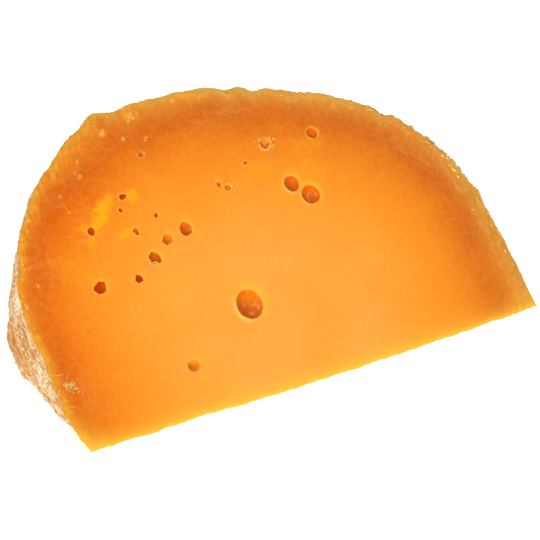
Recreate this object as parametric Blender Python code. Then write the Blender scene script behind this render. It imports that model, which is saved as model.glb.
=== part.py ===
import math

import bmesh
import bpy
import numpy as np
from mathutils import Matrix, Vector

# A wedge of aged mimolette: one eighth of a sagged ball, cut like a slice of melon.
# It lies on one cut face, and the other cut face leans back over it.
# X runs along the straight edge where the two cuts meet, Y into the ball, Z up.
# Lengths are in metres and angles in radians unless the name says millimetres.

NODE_NAME = "mimolette_wedge"
MM = 0.001

EDGE_RIGHT = 0.0785
EDGE_LEFT = 0.0768
WEDGE_ANGLE = math.radians(45.5)
EDGE_BEVEL = 0.0006
RIGHT_END_ANGLE = 0.020
LEFT_END_ANGLE = 0.050

# The straight edge stands out a little, bows further out and is worn back in places:
# place along the edge, depth, spread.
EDGE_OUT = 0.0012
EDGE_BOW = 0.0020
BOW_MIDDLE = 0.020
BOW_HALF = 0.095
EDGE_DENTS_MM = ((-42.0, 0.9, 12.0), (-66.0, 0.4, 5.0))

# Distance from the middle of the straight edge out to the rind, as cosine terms
# of the angle round from the right end, once for each cut.
FACE_TERMS_MM = (90.91, -5.44, -7.82, 4.44, -4.90, 0.33, -0.06, 0.61, -0.11)
BASE_TERMS_MM = (90.73, -4.76, -8.69, 4.86, -4.46, 0.30)

# Dents and shoulders in the rims of the leaning face and of the base: angle, height, spread.
FACE_KNOBS = (
    (0.10, 0.4, 0.060), (0.50, 0.8, 0.030), (0.58, 0.9, 0.200), (0.94, -0.6, 0.050),
    (1.45, 0.4, 0.450), (1.50, 0.4, 0.060), (1.82, -0.9, 0.060), (2.01, 1.2, 0.040),
    (2.18, -1.2, 0.080), (2.36, -1.4, 0.120), (2.55, -1.0, 0.060), (2.79, -1.3, 0.070),
    (3.00, 0.6, 0.055),
)
BASE_KNOBS = ((2.48, 0.7, 0.080), (2.78, -1.4, 0.100), (3.03, -0.9, 0.120))
KNOB_REACH = 0.35

# A flatter patch in the side of the rind: angle, share of the turn, height, the two spreads.
SIDE_KNOBS = ((2.42, 0.60, -2.0, 0.110, 0.30),)

# The uneven rind is a sum of crossing waves in three ranges of wave number.
LUMP_SEED = 6
LUMP_BANDS = (
    {"waves": 6, "lowest": 5.0, "highest": 14.0, "height_mm": 0.40},
    {"waves": 9, "lowest": 18.0, "highest": 48.0, "height_mm": 0.26},
    {"waves": 12, "lowest": 55.0, "highest": 96.0, "height_mm": 0.20},
)

STATIONS = 148
RIND_ROWS = 15
FACE_ROWS = 3

# Gas holes: place along the edge, distance from the edge, width across the mouth
# and how far the middle of the bubble sits below the cut, in shares of its width.
FACE_EYES_MM = (
    (-15.3, 26.9, 8.2, 0.10), (-38.5, 13.9, 3.8, -0.22), (11.7, 59.2, 4.8, 0.12),
    (16.6, 54.2, 5.7, 0.08), (24.2, 73.1, 3.3, 0.05), (7.6, 73.6, 3.6, -0.08),
    (-0.8, 69.4, 1.6, 0.05), (-12.0, 65.0, 1.9, 0.00), (-9.4, 63.5, 2.1, 0.00),
    (-26.8, 54.2, 3.8, 0.10), (-33.5, 52.6, 2.8, -0.20), (-39.4, 48.3, 3.8, 0.10),
    (-46.1, 43.4, 2.6, 0.20), (-58.2, 44.1, 3.7, 0.20), (-55.2, 60.9, 2.4, 0.20),
    (-42.4, 68.6, 2.3, 0.20), (-44.6, 65.0, 1.5, 0.10), (-34.4, 60.7, 1.5, 0.10),
    (-32.5, 79.7, 1.8, 0.10), (-42.1, 57.7, 1.7, 0.00),
)
BASE_EYES_MM = (
    (31.0, 35.5, 6.4, 0.10), (-21.5, 58.0, 4.4, 0.12), (-14.6, 53.4, 3.1, 0.05),
    (8.4, 72.8, 2.6, 0.10), (44.2, 56.1, 2.2, 0.15), (-48.7, 37.2, 3.5, 0.05),
    (-36.0, 17.9, 2.4, -0.15), (12.8, 21.0, 1.9, 0.10), (-2.9, 41.6, 1.7, 0.05),
    (24.9, 64.7, 3.9, -0.10), (53.0, 30.2, 1.6, 0.10),
)
EYE_SEGMENTS_LARGE = 18
EYE_SEGMENTS_SMALL = 10
EYE_LARGE_MM = 3.0

PASTE_COLOUR = (0.93, 0.35, 0.055, 1.0)
RIND_COLOUR = (0.50, 0.34, 0.18, 1.0)
PASTE_ROUGHNESS = 0.42
RIND_ROUGHNESS = 0.85


def clear_scene():
    for item in list(bpy.data.objects):
        bpy.data.objects.remove(item, do_unlink=True)


def make_material(name, colour, roughness):
    material = bpy.data.materials.new(name)
    material.use_nodes = True
    shader = material.node_tree.nodes["Principled BSDF"]
    shader.inputs["Base Color"].default_value = colour
    shader.inputs["Roughness"].default_value = roughness
    return material


def cosine_series(terms_mm, angle):
    # reach = sum of term k times cos(k * angle)
    reach = np.zeros_like(angle)
    for order, term in enumerate(terms_mm):
        reach = reach + term * MM * np.cos(order * angle)
    return reach


def rind_lumps(angle, turn):
    # each wave runs round the rind in its own direction; all fade out at both ends
    rng = np.random.default_rng(LUMP_SEED)
    height = np.zeros(np.broadcast(angle, turn).shape)
    for band in LUMP_BANDS:
        for _ in range(band["waves"]):
            number = rng.uniform(band["lowest"], band["highest"])
            heading = rng.uniform(-1.1, 1.1)
            phase = rng.uniform(0.0, 2.0 * math.pi)
            along = number * (angle * math.cos(heading) + turn * math.sin(heading))
            share = band["height_mm"] * MM / math.sqrt(band["waves"] / 2.0)
            height = height + share * np.sin(along + phase)
    return height * np.sqrt(np.sin(angle))


def rim_knobs(knobs, angle):
    height = np.zeros_like(angle)
    for place, tall_mm, spread in knobs:
        height = height + tall_mm * MM * np.exp(-(((angle - place) / spread) ** 2))
    return height


def rind_reach(angle, turn):
    # the two profiles are blended with the turn from the base cut to the face cut
    share = turn / WEDGE_ANGLE
    base = cosine_series(BASE_TERMS_MM, angle)
    face = cosine_series(FACE_TERMS_MM, angle)
    near_face = np.exp(-((1.0 - share) / KNOB_REACH) ** 2)
    near_base = np.exp(-(share / KNOB_REACH) ** 2)
    knobs = rim_knobs(FACE_KNOBS, angle) * near_face + rim_knobs(BASE_KNOBS, angle) * near_base
    for place, side, tall_mm, spread, side_spread in SIDE_KNOBS:
        far = ((angle - place) / spread) ** 2 + ((share - side) / side_spread) ** 2
        knobs = knobs + tall_mm * MM * np.exp(-far)
    return base + (face - base) * share + knobs + rind_lumps(angle, turn)


def edge_along(angle):
    return (EDGE_RIGHT - EDGE_LEFT) / 2.0 + (EDGE_RIGHT + EDGE_LEFT) / 2.0 * np.cos(angle)


def edge_across(x):
    # y of the straight edge = -out - bow * (1 - ((x - middle) / half) ^ 2) + worn dents
    y = -EDGE_OUT - EDGE_BOW * (1.0 - ((x - BOW_MIDDLE) / BOW_HALF) ** 2)
    for place_mm, deep_mm, spread_mm in EDGE_DENTS_MM:
        y = y + deep_mm * MM * np.exp(-(((x / MM - place_mm) / spread_mm) ** 2))
    return y


def wedge_rings():
    # One closed ring per station: up the rind, down the leaning face, back along the base.
    angle = np.linspace(RIGHT_END_ANGLE, math.pi - LEFT_END_ANGLE, STATIONS)
    turn = np.linspace(0.0, WEDGE_ANGLE, RIND_ROWS + 1)
    angles, turns = np.meshgrid(angle, turn, indexing="ij")
    reach = rind_reach(angles, turns)
    out = reach * np.sin(angles)
    rind = np.stack([reach * np.cos(angles), out * np.cos(turns), out * np.sin(turns)], axis=2)
    x = edge_along(angle)
    y = edge_across(x)
    bevel_y = EDGE_BEVEL * math.cos(WEDGE_ANGLE)
    bevel_z = EDGE_BEVEL * math.sin(WEDGE_ANGLE)
    upper_edge = np.stack([x, y + bevel_y, np.full_like(x, bevel_z)], axis=1)
    lower_edge = np.stack([x, y + EDGE_BEVEL, np.zeros_like(x)], axis=1)
    share = np.linspace(0.0, 1.0, FACE_ROWS + 1)[1:]
    rim = rind[:, -1]
    face = rim[:, None] + (upper_edge - rim)[:, None] * share[None, :, None]
    return np.concatenate([rind, face, lower_edge[:, None]], axis=1)


def build_wedge(paste, rind):
    rings = wedge_rings()
    stations, around = rings.shape[:2]
    corners = rings.reshape(-1, 3)
    index = np.arange(stations * around).reshape(stations, around)
    here = index[:-1]
    there = index[1:]
    quads = np.stack([here, there, np.roll(there, -1, axis=1), np.roll(here, -1, axis=1)], axis=2)
    faces = quads.reshape(-1, 4).tolist()
    faces.append(index[0].tolist())
    faces.append(index[-1][::-1].tolist())
    mesh = bpy.data.meshes.new(NODE_NAME)
    mesh.from_pydata(corners.tolist(), [], faces)
    mesh.materials.append(paste)
    mesh.materials.append(rind)
    column = np.tile(np.arange(around), stations - 1)
    slots = np.zeros(len(faces), dtype=np.int32)
    slots[: len(column)] = column < RIND_ROWS
    mesh.polygons.foreach_set("material_index", slots)
    wedge = bpy.data.objects.new(NODE_NAME, mesh)
    bpy.context.scene.collection.objects.link(wedge)
    tidy = bmesh.new()
    tidy.from_mesh(mesh)
    bmesh.ops.recalc_face_normals(tidy, faces=tidy.faces)
    tidy.to_mesh(mesh)
    tidy.free()
    return wedge


def face_place(x, r):
    # The leaning face carries a share of the edge's bow that fades from the edge to the rim.
    angle = np.array(math.atan2(r, x))
    rim = float(cosine_series(FACE_TERMS_MM, angle)) * math.sin(float(angle))
    shift = float(edge_across(x)) * max(0.0, 1.0 - r / rim)
    return Vector((x, r * math.cos(WEDGE_ANGLE) + shift, r * math.sin(WEDGE_ANGLE)))


def eye_cutter(paste):
    # Every gas hole is a round bubble whose mouth is the circle in which it meets the cut.
    cutter = bmesh.new()
    face_normal = Vector((0.0, -math.sin(WEDGE_ANGLE), math.cos(WEDGE_ANGLE)))
    base_normal = Vector((0.0, 0.0, -1.0))
    bubbles = [(face_place(x * MM, r * MM), face_normal, width, sunk) for x, r, width, sunk in FACE_EYES_MM]
    bubbles += [(Vector((x * MM, r * MM, 0.0)), base_normal, width, sunk) for x, r, width, sunk in BASE_EYES_MM]
    for place, normal, width_mm, sunk in bubbles:
        width = width_mm * MM
        radius = math.hypot(width / 2.0, sunk * width)
        centre = place - normal * (sunk * width)
        segments = EYE_SEGMENTS_LARGE if width_mm > EYE_LARGE_MM else EYE_SEGMENTS_SMALL
        lean = normal.to_track_quat("Z", "Y").to_matrix().to_4x4()
        bmesh.ops.create_uvsphere(
            cutter, u_segments=segments, v_segments=segments // 2, radius=radius,
            matrix=Matrix.Translation(centre) @ lean)
    mesh = bpy.data.meshes.new("eyes")
    cutter.to_mesh(mesh)
    cutter.free()
    mesh.materials.append(paste)
    eyes = bpy.data.objects.new("eyes", mesh)
    bpy.context.scene.collection.objects.link(eyes)
    return eyes


def cut_eyes(wedge, eyes):
    cut = wedge.modifiers.new("eyes", "BOOLEAN")
    cut.operation = "DIFFERENCE"
    cut.solver = "EXACT"
    cut.object = eyes
    graph = bpy.context.evaluated_depsgraph_get()
    mesh = bpy.data.meshes.new_from_object(wedge.evaluated_get(graph))
    wedge.modifiers.clear()
    wedge.data = mesh
    mesh.name = NODE_NAME
    bpy.data.objects.remove(eyes, do_unlink=True)


def shade_wedge(wedge):
    # Rind and gas holes are rounded; the rims where they meet the cuts stay crisp.
    mesh = wedge.data
    mesh.polygons.foreach_set("use_smooth", np.ones(len(mesh.polygons), dtype=bool))
    mesh.set_sharp_from_angle(angle=math.radians(35.0))


def centre_wedge(wedge):
    # The origin goes under the middle of the wedge, on the floor.
    mesh = wedge.data
    corners = np.empty(len(mesh.vertices) * 3)
    mesh.vertices.foreach_get("co", corners)
    corners = corners.reshape(-1, 3)
    low = corners.min(axis=0)
    high = corners.max(axis=0)
    corners -= np.array([(low[0] + high[0]) / 2.0, (low[1] + high[1]) / 2.0, low[2]])
    mesh.vertices.foreach_set("co", corners.ravel())
    mesh.update()


clear_scene()
paste_material = make_material("paste", PASTE_COLOUR, PASTE_ROUGHNESS)
rind_material = make_material("rind", RIND_COLOUR, RIND_ROUGHNESS)
cheese = build_wedge(paste_material, rind_material)
cut_eyes(cheese, eye_cutter(paste_material))
shade_wedge(cheese)
centre_wedge(cheese)
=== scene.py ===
# A wedge of aged mimolette, lying on one cut face in soft studio light.
# Two pieces dress the solid: the paste with its gas holes, and the thin dry rind round it.
# A third holds the shreds, crumbs, drops and scraps that the knife left, most of them along the rim.
import math

import bmesh
import bpy
import numpy as np
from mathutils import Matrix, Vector
from mathutils.bvhtree import BVHTree


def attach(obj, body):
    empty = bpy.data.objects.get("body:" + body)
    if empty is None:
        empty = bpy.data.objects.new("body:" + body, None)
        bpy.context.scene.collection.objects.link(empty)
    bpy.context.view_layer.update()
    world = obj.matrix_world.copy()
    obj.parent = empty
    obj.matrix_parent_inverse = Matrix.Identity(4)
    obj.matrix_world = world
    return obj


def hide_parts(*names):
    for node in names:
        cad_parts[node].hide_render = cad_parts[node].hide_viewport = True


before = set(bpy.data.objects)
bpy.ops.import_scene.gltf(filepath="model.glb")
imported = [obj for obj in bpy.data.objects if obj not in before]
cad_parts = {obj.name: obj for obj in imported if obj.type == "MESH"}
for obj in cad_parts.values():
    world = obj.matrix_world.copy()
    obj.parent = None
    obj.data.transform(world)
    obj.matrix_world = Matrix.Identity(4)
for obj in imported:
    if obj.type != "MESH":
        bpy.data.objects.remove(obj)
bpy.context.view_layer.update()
print("frame loaded")

mm = 0.001

# The wedge itself: the same named sizes as the solid, in metres unless the name says millimetres
wedge = {
    "node": "mimolette_wedge",
    "zero": (0.002045, -0.046997),         # where the wedge's own zero, near the middle of its edge, lies
    "edgeRight": 0.0785,
    "edgeLeft": 0.0768,
    "turn": math.radians(45.5),            # between the two cuts
    "edgeOut": 0.0012,                     # the edge stands out, bows further out and is worn back in places
    "bow": 0.0020,
    "bowMiddle": 0.020,
    "bowHalf": 0.095,
    "edgeDentsMm": ((-42.0, 0.9, 12.0), (-66.0, 0.4, 5.0)),
    "nose": 0.0005,                        # how far from the sharp edge its rounding starts on each cut
    "rightEnd": 0.020,                     # angles at which the two ends of the edge are cut off
    "leftEnd": 0.050,
    # how far the rind is from the zero at each cut, as cosine terms of the angle round from the right end
    "faceTermsMm": (90.91, -5.44, -7.82, 4.44, -4.90, 0.33, -0.06, 0.61, -0.11),
    "baseTermsMm": (90.73, -4.76, -8.69, 4.86, -4.46, 0.30),
    "faceKnobs": (                         # angle, height in mm, spread
        (0.10, 0.4, 0.060), (0.50, 0.8, 0.030), (0.58, 0.9, 0.200), (0.94, -0.6, 0.050),
        (1.45, 0.4, 0.450), (1.50, 0.4, 0.060), (1.82, -0.9, 0.060), (2.01, 1.2, 0.040),
        (2.18, -1.2, 0.080), (2.36, -1.4, 0.120), (2.55, -1.0, 0.060), (2.79, -1.3, 0.070),
        (3.00, 0.6, 0.055),
    ),
    "baseKnobs": ((2.48, 0.7, 0.080), (2.78, -1.4, 0.100), (3.03, -0.9, 0.120)),
    "sideKnobs": ((2.42, 0.60, -2.0, 0.110, 0.30),),   # angle, share of the turn, height, the two spreads
    "knobReach": 0.35,                     # share of the turn over which a knob of a cut dies away
    "rimMm": 88.0,                         # about how far the rim is from the zero
    "lumpSeed": 6,                         # bands of waves: how many, lowest, highest, height in mm
    "lumpBands": ((6, 5.0, 14.0, 0.40), (9, 18.0, 48.0, 0.26), (12, 55.0, 96.0, 0.20)),
    "stations": 700,
    "fraySeed": 17,                        # the rim of the leaning cut is frayed finely, most at the right
    "frayBands": ((14, 130.0, 260.0, 0.16), (18, 260.0, 440.0, 0.13)),
    "frayAngles": (
        (0.0, 0.8), (0.2, 1.3), (0.9, 1.2), (1.2, 0.5), (1.6, 0.25), (2.4, 0.2), (2.6, 0.35), (3.1, 0.2),
    ),
    "frayTurn": 0.012,                     # the fray dies away over this turn
}

# The rind: a skin that hugs the paste
rind = {
    "thickMm": 0.90,
    "thinsFrom": 2.86,                     # angle past which the rind wears away towards the left end
    "thinsTo": 3.00,
    "cutShare": 0.14,                      # share of the thickness that is left next to the leaning cut
    "cutWidth": 0.016,                     # and over how much of the turn it gets there
    "outerRows": 120,
    "grainSeed": 11,
    "grainBands": ((26, 110.0, 260.0, 0.13), (30, 280.0, 520.0, 0.10)),
    "pitSeed": 23,
    "pits": 1500,
    "pitWidthMm": (0.4, 1.7),
    "pitDepthMm": (0.12, 0.50),
    "deepest": 0.7,                        # no pit takes more than this share of the thickness
    # by angle, how strong the pale strip along the cut is, then the gold strip, and their widths
    "creamAngles": (
        (2.50, 0.0), (2.56, 0.3), (2.60, 0.9), (2.65, 0.8), (2.74, 0.5), (2.90, 0.5), (2.96, 0.0),
    ),
    "creamMm": 5.0,
    "giltAngles": ((2.50, 1.0), (2.58, 0.4), (2.86, 0.4), (2.94, 1.0)),
    "giltMm": 2.6,
    # paler (more) and browner (less) patches: angle, share of the turn, the two spreads, strength
    "patches": (
        (2.60, 0.78, 0.045, 0.28, 0.90), (2.61, 0.28, 0.050, 0.22, -0.90),
        (2.53, 0.04, 0.050, 0.20, -0.80), (2.70, 0.85, 0.040, 0.25, -0.55),
        (2.68, 0.28, 0.045, 0.18, -0.90), (2.75, 0.72, 0.040, 0.25, -0.50),
        (2.71, 0.00, 0.090, 0.08, 0.70), (2.83, 0.50, 0.045, 0.20, 0.70),
        (2.91, 0.45, 0.050, 0.20, 0.50), (2.87, 0.12, 0.080, 0.15, 0.40),
        (2.20, 0.40, 0.120, 0.30, -0.50), (1.90, 0.60, 0.150, 0.25, 0.50),
        (1.55, 0.35, 0.140, 0.25, -0.60), (1.20, 0.55, 0.160, 0.30, 0.40),
        (0.85, 0.40, 0.120, 0.25, -0.50), (0.50, 0.60, 0.120, 0.30, 0.45),
        (0.25, 0.35, 0.100, 0.25, -0.40),
    ),
}

# The paste: rows of its ring, and how the leaning cut rolls over and roughens next to the rind
paste = {
    "rindRows": 8,
    "faceRows": 70,
    "noseRows": 4,
    "edgeSeed": 12,                        # the sharp edge is a little ragged
    "edgeBands": ((8, 250.0, 700.0, 0.13), (12, 900.0, 2600.0, 0.10)),
    "baseRows": 12,
    "crowd": 0.70,                         # how far the rows of a cut crowd towards its two ends
    "rollMm": 0.38,
    "rollWidthMm": 1.1,
    "narrowMm": 12.0,                      # the roll is less where the cut is narrower than this
    "raggedMm": 1.2,                       # what is ragged at an edge dies away over this distance
    "lumpMm": 0.26,
    "lumpWidthMm": 6.0,
    "lumpSeed": 5,
    "lumpBands": ((10, 0.5, 1.2, 1.0), (12, 1.4, 3.2, 0.6)),
    "lumpyAngles": ((0.0, 0.7), (0.9, 0.5), (1.5, 0.7), (1.9, 1.3), (2.2, 1.5), (2.5, 0.8), (3.1, 0.7)),
    "lipMm": 0.18,                         # how far the lips of the gas holes stand up
    "lipSide": math.radians(205.0),        # the side on which they do; the other side is worn down
    "wornShare": 0.10,                     # how deep it is worn, in widths of the hole
    "lightSide": math.radians(70.0),       # the side of a hole whose wall is painted lit; the other side is painted in shade
    "fineMm": 0.56,                        # steps of the surface near the holes and smears
    "fineTimes": 4,                        # and how often they are halved at most
    "blisterShare": 0.20,                  # height of a blister in its own widths, and its spread
    "blisterSpread": 0.42,
    "patchSeed": 77,                       # the outlines of smears and dull patches are wavy
    "patchBands": ((10, 1.0, 3.0, 1.0), (10, 3.0, 7.0, 0.7)),
    "glowMm": 2.0,                         # width of the painted glow along the sharp edge, light let through its thin paste
    "glowCorner": (-76.0, 2.6, 5.0),       # wider at the left corner: place, by how much, spread in mm
    "frayedMm": 5.0,                       # depth over which the cut is frayed, and how much by angle
    "frayedAngles": ((0.0, 0.6), (0.3, 1.0), (0.9, 0.9), (1.2, 0.4), (2.0, 0.3), (2.5, 0.15), (3.1, 0.1)),
    # by angle, how far further in (less) or out (more) the aged band round the leaning cut lies, in mm
    "ageShiftMm": (
        (0.00, -2.6), (0.50, -2.0), (0.90, 0.6), (1.30, 1.3), (1.62, 1.6), (1.90, 0.4),
        (2.08, -0.6), (2.22, 1.2), (2.45, 3.8), (2.65, 4.8), (2.85, 6.5), (3.10, 7.0),
    ),
    "ageFromMm": 0.4,                      # the shift sets in from this depth and is whole this much deeper
    "ageOverMm": 5.6,
    "onFace": 0.003,                       # points this near the leaning cut belong to it
}

# The bubbles that leave the gas holes
bubbles = {
    "rings": 21,
    "spokes": 48,
    "poleGap": 0.06,                       # angle of the first and last ring from the poles
    "raggedOrders": (2, 3, 5, 7, 9),
    "seed": 300,
    "inRadii": 1.35,                       # a hole's wall lies within this many radii of its middle
    "below": 0.00004,                      # and at least this far below the cut
    "onCut": 0.0006,                       # its lip and halo lie within this of the cut
    "wornWhere": 0.30,                     # its worn side and halo spread by these, in half widths
    "haloWhere": 0.26,
}

# Gas holes in mm: along the edge, out from the edge, width, depth of the bubble's middle in widths,
# how oval, which way the oval lies in degrees, how ragged, how much painted shade the walls get, how pale
# the lip (pale torn paste, with a painted highlight on its lit side)
faceEyes = (
    (-15.9, 28.0, 9.0, 0.04, 0.95, 0, 0.015, 0.16, 0.80),
    (-39.0, 14.6, 3.7, -0.22, 1.15, 0, 0.03, 0.00, 0.20),
    (11.3, 59.7, 5.2, 0.08, 1.04, 90, 0.02, 0.42, 0.80),
    (16.3, 54.9, 6.3, 0.04, 1.02, 0, 0.02, 0.34, 0.40),
    (24.2, 73.3, 3.6, 0.05, 1.14, 0, 0.04, 0.60, 0.30),
    (7.4, 73.8, 3.3, -0.14, 1.10, 60, 0.14, 0.10, 1.00),
    (-1.2, 69.7, 1.4, 0.05, 1.20, 0, 0.10, 0.40, 0.70),
    (-12.0, 65.4, 1.7, 0.00, 1.30, 90, 0.16, 0.15, 0.80),
    (-9.6, 63.7, 2.0, 0.00, 1.20, 10, 0.14, 0.25, 0.80),
    (-27.1, 54.8, 4.2, 0.08, 1.05, 80, 0.04, 0.48, 0.25),
    (-33.7, 53.1, 3.4, -0.12, 1.06, 60, 0.06, 0.20, 0.25),
    (-39.4, 48.6, 3.8, 0.10, 1.06, 130, 0.08, 0.40, 0.55),
    (-40.1, 47.1, 1.1, 0.10, 1.30, 20, 0.10, 1.00, 0.30),
    (-46.2, 43.8, 2.6, 0.20, 1.14, 10, 0.10, 1.00, 0.25),
    (-58.3, 44.4, 3.9, 0.20, 1.04, 0, 0.07, 0.85, 0.30),
    (-55.3, 61.2, 2.4, 0.20, 1.04, 20, 0.06, 0.90, 0.40),
    (-42.5, 68.9, 2.2, 0.20, 1.35, 0, 0.10, 0.80, 0.50),
    (-44.6, 65.1, 1.4, 0.10, 1.10, 90, 0.08, 0.75, 0.45),
    (-34.6, 61.0, 1.5, 0.10, 1.15, 60, 0.08, 0.75, 0.40),
    (-32.6, 79.9, 1.7, 0.10, 1.20, 20, 0.08, 0.60, 0.80),
    (-42.2, 57.7, 2.0, 0.00, 1.80, 100, 0.14, 0.45, 0.45),
)
baseEyes = (
    (31.0, 35.5, 6.4, 0.10, 1.06, 30, 0.03, 0.40, 0.30),
    (-21.5, 58.0, 4.4, 0.12, 1.08, 70, 0.04, 0.50, 0.20),
    (-14.6, 53.4, 3.1, 0.05, 1.10, 10, 0.05, 0.60, 0.40),
    (8.4, 72.8, 2.6, 0.10, 1.15, 120, 0.08, 0.70, 0.50),
    (44.2, 56.1, 2.2, 0.15, 1.10, 0, 0.08, 0.80, 0.40),
    (-48.7, 37.2, 3.5, 0.05, 1.05, 45, 0.06, 0.60, 0.30),
    (-36.0, 17.9, 2.4, -0.15, 1.10, 0, 0.08, 0.20, 0.20),
    (12.8, 21.0, 1.9, 0.10, 1.20, 80, 0.10, 0.70, 0.50),
    (-2.9, 41.6, 1.7, 0.05, 1.30, 100, 0.12, 0.60, 0.60),
    (24.9, 64.7, 3.9, -0.10, 1.08, 60, 0.06, 0.35, 0.20),
    (53.0, 30.2, 1.6, 0.10, 1.10, 20, 0.10, 0.80, 0.40),
)

# Bright smears where the knife dragged fat over the cut: middle, length and width in mm,
# turn in degrees, strength
smears = (
    (-50.6, 65.6, 14.4, 6.2, 52, 0.90), (-47.4, 69.6, 5.0, 4.0, 30, 0.60),
    (-57.4, 63.2, 4.8, 3.0, 0, 0.62), (-39.6, 69.0, 4.8, 4.8, 20, 0.78),
    (-56.4, 58.2, 3.0, 3.6, 90, 0.55), (-45.2, 57.9, 6.4, 3.0, 6, 0.92),
    (-24.0, 53.0, 5.0, 2.8, -56, 0.65), (21.0, 70.8, 16.0, 6.0, -10, 0.24),
    (1.5, 66.6, 14.0, 7.0, 0, 0.26), (-41.4, 56.6, 2.4, 1.8, -60, 0.45),
    (-62.0, 50.0, 12.0, 20.0, 60, 0.16), (14.0, 60.5, 22.0, 13.0, 10, 0.30),
    (-12.0, 67.6, 5.0, 3.0, 0, 0.30), (-36.0, 38.0, 20.0, 12.0, 40, 0.10),
)
# Painted sheen near the rind, in duller and paler streaked patches, in the same form
sheenPatches = (
    (-0.1, 87.4, 19.0, 3.4, -6, 0.50), (-11.0, 86.2, 9.0, 3.0, 0, 0.35),
    (52.0, 63.0, 10.0, 3.4, -58, 0.50), (58.0, 58.0, 12.0, 2.6, -62, 0.50),
    (67.0, 46.0, 14.0, 3.0, -68, 0.70), (70.0, 33.0, 16.0, 2.6, -76, 0.60),
    (71.6, 18.0, 14.0, 2.2, -82, 0.50), (-71.0, 52.5, 16.0, 2.6, 78, 0.30),
    (-75.6, 20.0, 5.0, 4.0, 30, 0.90), (-72.0, 16.0, 16.0, 5.0, 100, 0.28),
)


def srgb(red, green, blue):
    # eight-bit screen colour to linear: ((c / 255 + 0.055) / 1.055) ^ 2.4
    part = [((value / 255.0 + 0.055) / 1.055) ** 2.4 for value in (red, green, blue)]
    return (part[0], part[1], part[2], 1.0)


def hill(values):
    # exp(-values ^ 2)
    return np.exp(-(values ** 2))


def smoothStep(values):
    # 3 s ^ 2 - 2 s ^ 3, where s is the value held between 0 and 1
    share = np.clip(values, 0.0, 1.0)
    return share * share * (3.0 - 2.0 * share)


def byAngle(rows, angle):
    # straight lines between the rows of a table of angles and values
    return np.interp(angle, *np.array(rows).T)


def cosineReach(termsMm, angle):
    # reach = sum over k of term k * cos(k * angle)
    waves = np.cos(np.asarray(angle)[..., None] * np.arange(len(termsMm)))
    return np.tensordot(waves, np.array(termsMm) * mm, axes=([-1], [0]))


def waveSum(bands, seed, first, second, spread=1.1):
    # sum of tall * sin(number * (first * cos(heading) + second * sin(heading)) + phase), where tall is the
    # band's height over the root of half its waves, and number, heading and phase are drawn for each wave
    draw = np.random.default_rng(seed)
    height = np.zeros(np.broadcast(first, second).shape)
    for waves, lowest, highest, heightMm in bands:
        for _ in range(waves):
            number = draw.uniform(lowest, highest)
            heading = draw.uniform(-spread, spread)
            phase = draw.uniform(0.0, 2.0 * math.pi)
            along = number * (first * math.cos(heading) + second * math.sin(heading))
            height = height + heightMm * mm / math.sqrt(waves / 2.0) * np.sin(along + phase)
    return height


def rindReach(angle, turn):
    # base profile + (face profile - base profile) * share of the turn + knobs + waves + fray at the cut
    share = turn / wedge["turn"]
    base = cosineReach(wedge["baseTermsMm"], angle)
    face = cosineReach(wedge["faceTermsMm"], angle)
    knobs = np.zeros(np.broadcast(angle, turn).shape)
    for cut, awayFromCut in (("faceKnobs", 1.0 - share), ("baseKnobs", share)):
        near = hill(awayFromCut / wedge["knobReach"])
        for place, tallMm, spread in wedge[cut]:
            knobs = knobs + tallMm * mm * hill((angle - place) / spread) * near
    for place, side, tallMm, spread, sideSpread in wedge["sideKnobs"]:
        away = ((angle - place) / spread) ** 2 + ((share - side) / sideSpread) ** 2
        knobs = knobs + tallMm * mm * np.exp(-away)
    lumps = waveSum(wedge["lumpBands"], wedge["lumpSeed"], angle, turn) * np.sqrt(np.sin(angle))
    atCut = hill((wedge["turn"] - turn) / wedge["frayTurn"])
    frayed = waveSum(wedge["frayBands"], wedge["fraySeed"], angle, turn, 0.3)
    frayed = frayed * byAngle(wedge["frayAngles"], angle) * atCut
    return base + (face - base) * share + knobs + lumps + frayed


def rindThickness(angle, turn):
    # thickness * (1 - (1 - cutShare) * exp(-(turn left / cutWidth) ^ 2)), worn away before the left end
    worn = np.clip((rind["thinsTo"] - angle) / (rind["thinsTo"] - rind["thinsFrom"]), 0.0, 1.0)
    atCut = hill((wedge["turn"] - turn) / rind["cutWidth"])
    return rind["thickMm"] * mm * (0.04 + 0.96 * worn) * (1.0 - (1.0 - rind["cutShare"]) * atCut)


def edgeAlong(angle):
    # x = middle of the two ends + half their distance * cos(angle)
    right, left = wedge["edgeRight"], wedge["edgeLeft"]
    return (right - left) / 2.0 + (right + left) / 2.0 * np.cos(angle)


def edgeAcross(x):
    # y = -out - bow * (1 - ((x - middle) / half) ^ 2) + sum of depth * exp(-((x - place) / spread) ^ 2)
    y = -wedge["edgeOut"] - wedge["bow"] * (1.0 - ((x - wedge["bowMiddle"]) / wedge["bowHalf"]) ** 2)
    for placeMm, deepMm, spreadMm in wedge["edgeDentsMm"]:
        y = y + deepMm * mm * hill((x / mm - placeMm) / spreadMm)
    return y


def underTurns(rows):
    # turn = whole turn * (1 - (1 - t) ^ 1.7), so that the steps are finest next to the leaning cut
    return wedge["turn"] * (1.0 - (1.0 - np.linspace(0.0, 1.0, rows + 1)) ** 1.7)


def faceRoll(angle, depth):
    # drop = roll * exp(-(depth / width) ^ 1.5) + lump * share by angle * (waves / 2 + 0.3)
    # * exp(-(depth / lump width) ^ 2)
    roll = paste["rollMm"] * mm * np.exp(-np.abs(depth / (paste["rollWidthMm"] * mm)) ** 1.5)
    waves = waveSum(paste["lumpBands"], paste["lumpSeed"], angle * wedge["rimMm"], depth / mm, 1.5) / mm
    lumpy = byAngle(paste["lumpyAngles"], angle)
    fade = hill(depth / (paste["lumpWidthMm"] * mm))
    return roll + paste["lumpMm"] * mm * lumpy * (waves * 0.5 + 0.3) * fade


def edgeFade(distance):
    # exp(-distance / ragged width)
    return np.exp(-distance / (paste["raggedMm"] * mm))


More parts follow.
